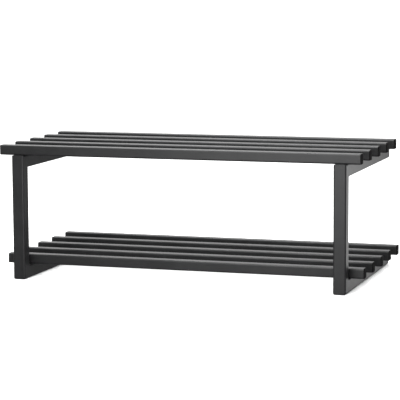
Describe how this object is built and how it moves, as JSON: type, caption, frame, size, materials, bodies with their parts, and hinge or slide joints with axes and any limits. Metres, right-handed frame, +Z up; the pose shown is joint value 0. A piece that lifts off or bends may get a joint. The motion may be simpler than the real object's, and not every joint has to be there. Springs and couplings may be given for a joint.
{
  "type": "entryway bench",
  "caption": "Low entryway bench of black square steel tube, with a slatted seat above a slatted shoe shelf, on C-shaped end frames that are open at the back.",
  "frame": {"origin": "on the floor, under the middle of the bench's box", "axes": "+X along the slats towards the right end as seen from the front, +Y from the uprights towards the open back, +Z up"},
  "size_m": [0.73, 0.39, 0.267],
  "materials": {
    "black_powder_coat": "satin black powder coat with a fine texture",
    "plug_plastic": "moulded black plastic, fine matte texture",
    "glide_plastic": "smooth hard black plastic, slightly worn underneath"
  },
  "bodies": {
    "root": {"left_upright": "black_powder_coat", "left_upper_arm": "black_powder_coat", "left_lower_arm": "black_powder_coat", "left_corner_welds": "black_powder_coat", "right_upright": "black_powder_coat", "right_upper_arm": "black_powder_coat", "right_lower_arm": "black_powder_coat", "right_corner_welds": "black_powder_coat", "left_upper_arm_plug": "plug_plastic", "left_lower_arm_plug": "plug_plastic", "right_upper_arm_plug": "plug_plastic", "right_lower_arm_plug": "plug_plastic", "seat_slat_1": "black_powder_coat", "seat_slat_2": "black_powder_coat", "seat_slat_3": "black_powder_coat", "seat_slat_4": "black_powder_coat", "seat_slat_5": "black_powder_coat", "shelf_slat_1": "black_powder_coat", "shelf_slat_2": "black_powder_coat", "shelf_slat_3": "black_powder_coat", "shelf_slat_4": "black_powder_coat", "shelf_slat_5": "black_powder_coat", "seat_slat_1_left_plug": "plug_plastic", "seat_slat_1_right_plug": "plug_plastic", "seat_slat_2_left_plug": "plug_plastic", "seat_slat_2_right_plug": "plug_plastic", "seat_slat_3_left_plug": "plug_plastic", "seat_slat_3_right_plug": "plug_plastic", "seat_slat_4_left_plug": "plug_plastic", "seat_slat_4_right_plug": "plug_plastic", "seat_slat_5_left_plug": "plug_plastic", "seat_slat_5_right_plug": "plug_plastic", "shelf_slat_1_left_plug": "plug_plastic", "shelf_slat_1_right_plug": "plug_plastic", "shelf_slat_2_left_plug": "plug_plastic", "shelf_slat_2_right_plug": "plug_plastic", "shelf_slat_3_left_plug": "plug_plastic", "shelf_slat_3_right_plug": "plug_plastic", "shelf_slat_4_left_plug": "plug_plastic", "shelf_slat_4_right_plug": "plug_plastic", "shelf_slat_5_left_plug": "plug_plastic", "shelf_slat_5_right_plug": "plug_plastic", "seat_slat_welds": "black_powder_coat", "shelf_slat_welds": "black_powder_coat", "left_front_glide": "glide_plastic", "left_rear_glide": "glide_plastic", "right_front_glide": "glide_plastic", "right_rear_glide": "glide_plastic"}
  },
  "joints": []
}
